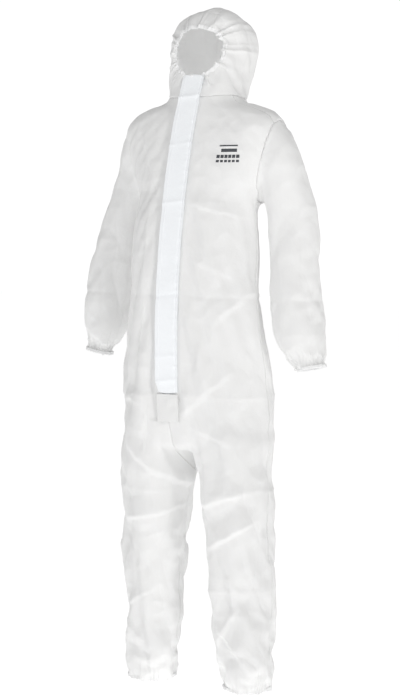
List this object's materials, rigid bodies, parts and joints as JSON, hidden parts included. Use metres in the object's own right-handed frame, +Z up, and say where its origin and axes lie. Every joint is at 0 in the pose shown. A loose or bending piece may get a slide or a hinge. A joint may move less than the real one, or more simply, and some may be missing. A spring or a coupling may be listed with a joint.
{
  "type": "protective coverall",
  "caption": "Hooded one-piece disposable coverall with front zip, storm flap, elastic face opening, cuffs and ankles, hung as if worn.",
  "frame": {"origin": "centre of the neck seam, where the wearer's neck and shoulders hold the garment", "axes": "+Z up along the wearer, -Y out of the wearer's chest, +X to the wearer's left"},
  "size_m": [0.752, 0.3809, 1.844],
  "materials": {
    "white_nonwoven": "matt point-bonded nonwoven",
    "elastic": "matt covered elastic",
    "zip_tape": "matt knitted tape",
    "zip_teeth": "satin nylon coil",
    "slider_metal": "white coated metal",
    "label_cloth": "smooth woven label"
  },
  "bodies": {
    "torso": {"left_front_panel": "white_nonwoven", "right_front_panel": "white_nonwoven", "left_back_panel": "white_nonwoven", "right_back_panel": "white_nonwoven", "crotch_gusset": "white_nonwoven", "left_sleeve_head": "white_nonwoven", "right_sleeve_head": "white_nonwoven", "hood_base_back": "white_nonwoven", "hood_base_left": "white_nonwoven", "hood_base_right": "white_nonwoven", "storm_flap_top": "white_nonwoven", "zip_bottom_patch": "white_nonwoven", "waist_elastic": "elastic", "neck_label": "label_cloth", "zip_tape_left": "zip_tape", "zip_tape_right": "zip_tape", "zip_teeth_left": "zip_teeth", "zip_teeth_right": "zip_teeth", "zip_bottom_stop": "zip_teeth", "zip_top_stops": "zip_teeth"},
    "hood": {"hood_left_panel": "white_nonwoven", "hood_right_panel": "white_nonwoven", "hood_centre_panel": "white_nonwoven", "face_elastic": "elastic"},
    "left_arm": {"left_sleeve": "white_nonwoven", "left_cuff_elastic": "elastic"},
    "right_arm": {"right_sleeve": "white_nonwoven", "right_cuff_elastic": "elastic"},
    "left_shin": {"left_shin_front_panel": "white_nonwoven", "left_shin_back_panel": "white_nonwoven", "left_ankle_elastic": "elastic"},
    "right_shin": {"right_shin_front_panel": "white_nonwoven", "right_shin_back_panel": "white_nonwoven", "right_ankle_elastic": "elastic"},
    "slider": {"zip_slider": "slider_metal"},
    "pull": {"zip_pull": "slider_metal"},
    "flap": {"storm_flap": "white_nonwoven"}
  },
  "joints": [
    {"name": "hood_fold", "type": "hinge", "parent": "torso", "child": "hood", "pos_m": [0, 0.134, 0.034], "axis": [-1, 0, 0], "range_deg": [0, 80]},
    {"name": "left_shoulder", "type": "hinge", "parent": "torso", "child": "left_arm", "pos_m": [0.205, 0.021, -0.125], "axis": [0, -1, 0], "range_deg": [0, 75]},
    {"name": "right_shoulder", "type": "hinge", "parent": "torso", "child": "right_arm", "pos_m": [-0.205, 0.021, -0.125], "axis": [0, 1, 0], "range_deg": [0, 75]},
    {"name": "left_knee", "type": "hinge", "parent": "torso", "child": "left_shin", "pos_m": [0.131, -0.038, -1.085], "axis": [1, 0, 0], "range_deg": [0, 60]},
    {"name": "right_knee", "type": "hinge", "parent": "torso", "child": "right_shin", "pos_m": [-0.131, -0.038, -1.085], "axis": [1, 0, 0], "range_deg": [0, 60]},
    {"name": "zip_slide", "type": "hinge", "parent": "torso", "child": "slider", "pos_m": [0, 1.74351, -0.67571], "axis": [1, 0, 0], "range_deg": [0, 23.9]},
    {"name": "pull_swing", "type": "hinge", "parent": "slider", "child": "pull", "pos_m": [0, -0.05619, 0.03863], "axis": [-1, 0, 0], "range_deg": [0, 10]},
    {"name": "storm_flap_open", "type": "hinge", "parent": "torso", "child": "flap", "pos_m": [0.033, -0.1965, -0.53124], "axis": [0, 0.0743, 0.9972], "range_deg": [0, 120]}
  ]
}
